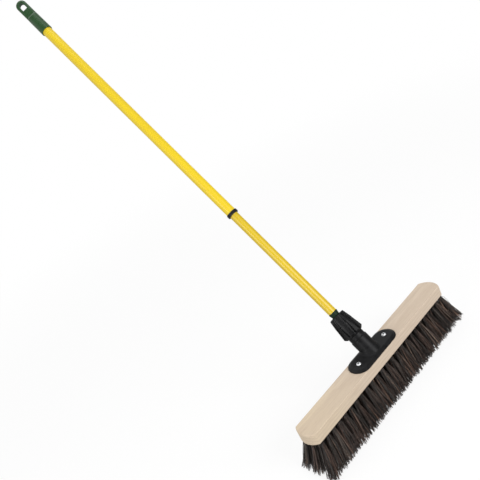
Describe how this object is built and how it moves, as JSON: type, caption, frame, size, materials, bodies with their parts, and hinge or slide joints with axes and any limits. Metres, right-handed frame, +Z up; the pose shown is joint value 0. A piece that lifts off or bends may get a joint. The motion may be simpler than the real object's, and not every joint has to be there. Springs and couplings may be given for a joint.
{
  "type": "push broom",
  "caption": "Push broom: wooden block of dark natural bristle, clamp socket with a ribbed locking nut, and a twist-lock telescoping pole with a hanging cap.",
  "frame": {"origin": "centre of the bristle tips, on the plane that the broom sweeps on, under the middle of the block", "axes": "+X along the block, +Y the side that the pole leans to, +Z up from the swept floor"},
  "size_m": [0.4768, 0.6664, 0.9761],
  "materials": {
    "block_wood": "satin",
    "bristle_fibre": "matte",
    "anchor_wire": "satin",
    "socket_plastic": "satin",
    "zinc_screw": "polished",
    "nut_plastic": "satin",
    "collet_plastic": "matte",
    "ferrule_plastic": "satin",
    "lower_enamel": "gloss",
    "upper_enamel": "gloss",
    "collar_plastic": "satin",
    "cap_plastic": "satin",
    "lock_plastic": "matte",
    "lock_steel": "satin"
  },
  "bodies": {
    "head": {"wood_block": "block_wood", "front_tufts": "bristle_fibre", "front_inner_tufts": "bristle_fibre", "centre_tufts": "bristle_fibre", "back_inner_tufts": "bristle_fibre", "back_tufts": "bristle_fibre", "tuft_anchors": "anchor_wire", "socket_body": "socket_plastic", "flange_screws": "zinc_screw"},
    "collet": {"clamp_collet": "collet_plastic"},
    "nut": {"lock_nut": "nut_plastic"},
    "lower_pole": {"tip_insert": "ferrule_plastic", "lower_tube": "lower_enamel", "lock_plug": "lock_plastic", "lock_stud": "lock_steel", "stop_nut": "lock_steel"},
    "lock_sleeve": {"expander_sleeve": "lock_plastic"},
    "cone": {"wedge_cone": "lock_plastic"},
    "upper_pole": {"upper_tube": "upper_enamel", "guide_collar": "collar_plastic", "hang_cap": "cap_plastic"}
  },
  "joints": [
    {"name": "clamp_travel", "type": "slide", "parent": "head", "child": "collet", "axis": [0, 0.5736, 0.8192], "range_m": [0, 0.0046]},
    {"name": "nut_turn", "type": "hinge", "parent": "collet", "child": "nut", "pos_m": [0, 0.04185, 0.15074], "axis": [0, 0.5736, 0.8192], "range_deg": [0, 540]},
    {"name": "pole_withdraw", "type": "slide", "parent": "head", "child": "lower_pole", "axis": [0, 0.5736, 0.8192], "range_m": [0, 0.07]},
    {"name": "twist_lock", "type": "hinge", "parent": "lower_pole", "child": "lock_sleeve", "pos_m": [0, 0.41353, 0.68155], "axis": [0, 0.5736, 0.8192], "range_deg": [0, 360]},
    {"name": "cone_travel", "type": "slide", "parent": "lock_sleeve", "child": "cone", "axis": [0, 0.5736, 0.8192], "range_m": [0, 0.0021]},
    {"name": "pole_extend", "type": "slide", "parent": "lock_sleeve", "child": "upper_pole", "axis": [0, 0.5736, 0.8192], "range_m": [-0.27, 0.23]}
  ],
  "couplings": [
    {"joint": "clamp_travel", "follows": "nut_turn", "m_per_rad": 0.00047746},
    {"joint": "cone_travel", "follows": "twist_lock", "m_per_rad": 0.00031831}
  ]
}
